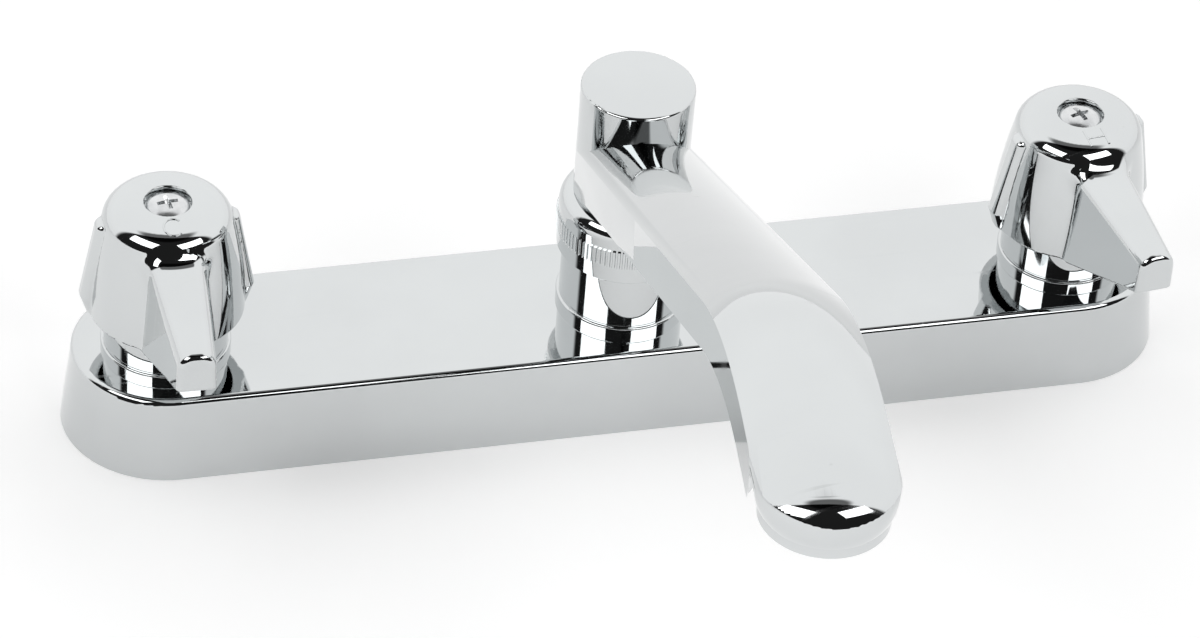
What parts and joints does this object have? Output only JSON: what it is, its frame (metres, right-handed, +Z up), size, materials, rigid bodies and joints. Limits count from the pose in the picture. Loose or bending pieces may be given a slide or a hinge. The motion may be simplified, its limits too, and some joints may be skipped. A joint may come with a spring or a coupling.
{
  "type": "two handle kitchen faucet",
  "caption": "Deck-mounted kitchen faucet with an oblong base plate, a rising swing spout with aerator, and a lever-tab canopy handle for each of hot and cold.",
  "frame": {"origin": "on the deck, midway between the two handle axes and in the middle of the plate from front to back", "axes": "+X towards the hot handle, -Y towards the user and the sink bowl, +Z up from the deck"},
  "size_m": [0.2488, 0.2381, 0.2028],
  "materials": {
    "polished_chrome": "polished",
    "brass": "as machined",
    "copper": "satin",
    "stainless_steel": "satin",
    "rubber": "matt",
    "gasket_plastic": "matt",
    "white_plastic": "gloss"
  },
  "bodies": {
    "base": {"deck_shell": "polished_chrome", "deck_gasket": "gasket_plastic", "spout_socket": "brass", "spout_hub": "polished_chrome", "spout_nut": "polished_chrome", "cold_valve_body": "brass", "cold_crossover_tube": "copper", "cold_sleeve": "polished_chrome", "cold_bonnet": "brass", "cold_bonnet_gasket": "gasket_plastic", "cold_seat": "brass", "cold_shank_washer": "stainless_steel", "cold_shank_nut": "brass", "hot_valve_body": "brass", "hot_crossover_tube": "copper", "hot_sleeve": "polished_chrome", "hot_bonnet": "brass", "hot_bonnet_gasket": "gasket_plastic", "hot_seat": "brass", "hot_shank_washer": "stainless_steel", "hot_shank_nut": "brass"},
    "cold_handle_set": {"cold_handle": "polished_chrome", "cold_handle_screw": "stainless_steel", "cold_spindle": "brass", "cold_stem_seal": "rubber", "cold_stem_clip": "stainless_steel"},
    "cold_plunger_set": {"cold_plunger": "brass", "cold_seat_washer": "rubber", "cold_washer_screw": "stainless_steel"},
    "hot_handle_set": {"hot_handle": "polished_chrome", "hot_handle_screw": "stainless_steel", "hot_spindle": "brass", "hot_stem_seal": "rubber", "hot_stem_clip": "stainless_steel"},
    "hot_plunger_set": {"hot_plunger": "brass", "hot_seat_washer": "rubber", "hot_washer_screw": "stainless_steel"},
    "swing_spout": {"spout": "polished_chrome", "spout_split_ring": "stainless_steel", "spout_o_rings": "rubber", "aerator_housing": "polished_chrome", "aerator_washer": "rubber", "aerator_insert": "white_plastic"}
  },
  "joints": [
    {"name": "spout_swivel", "type": "hinge", "parent": "base", "child": "swing_spout", "pos_m": [0, 0, 0.05], "axis": [0, 0, 1], "continuous": true},
    {"name": "cold_handle_turn", "type": "hinge", "parent": "base", "child": "cold_handle_set", "pos_m": [-0.1016, 0, 0.045], "axis": [0, 0, -1], "range_deg": [0, 180]},
    {"name": "hot_handle_turn", "type": "hinge", "parent": "base", "child": "hot_handle_set", "pos_m": [0.1016, 0, 0.045], "axis": [0, 0, 1], "range_deg": [0, 180]},
    {"name": "cold_valve_lift", "type": "slide", "parent": "base", "child": "cold_plunger_set", "axis": [0, 0, 1], "range_m": [0, 0.00301]},
    {"name": "hot_valve_lift", "type": "slide", "parent": "base", "child": "hot_plunger_set", "axis": [0, 0, 1], "range_m": [0, 0.00301]}
  ],
  "couplings": [
    {"joint": "cold_valve_lift", "follows": "cold_handle_turn", "m_per_rad": 0.00095493},
    {"joint": "hot_valve_lift", "follows": "hot_handle_turn", "m_per_rad": 0.00095493}
  ]
}
